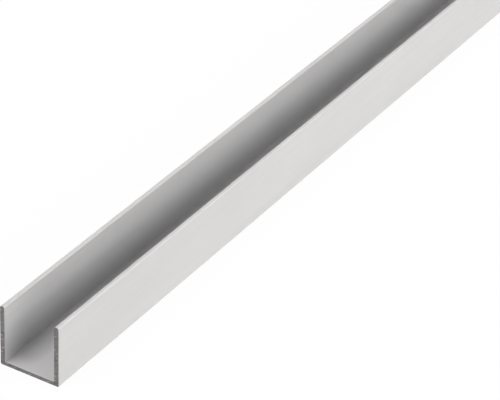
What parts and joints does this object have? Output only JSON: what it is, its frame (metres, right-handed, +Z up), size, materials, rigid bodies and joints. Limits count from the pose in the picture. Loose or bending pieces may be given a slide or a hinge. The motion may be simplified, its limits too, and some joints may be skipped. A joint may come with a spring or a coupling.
{
  "type": "metal channel section",
  "caption": "Length of equal-leg aluminium channel: a flat web with a leg up each side, sawn square, to cap or guide an edge.",
  "frame": {"origin": "middle of the web's underside, halfway along the length", "axes": "+Y along the stock, towards the far sawn end; +Z up the legs, out of the trough's mouth; +X across the web"},
  "size_m": [0.02, 1, 0.02],
  "materials": {
    "aluminium": "mill finish, satin, with faint die lines along its length and dull sawn ends"
  },
  "bodies": {
    "root": {"channel_section": "aluminium"}
  },
  "joints": []
}
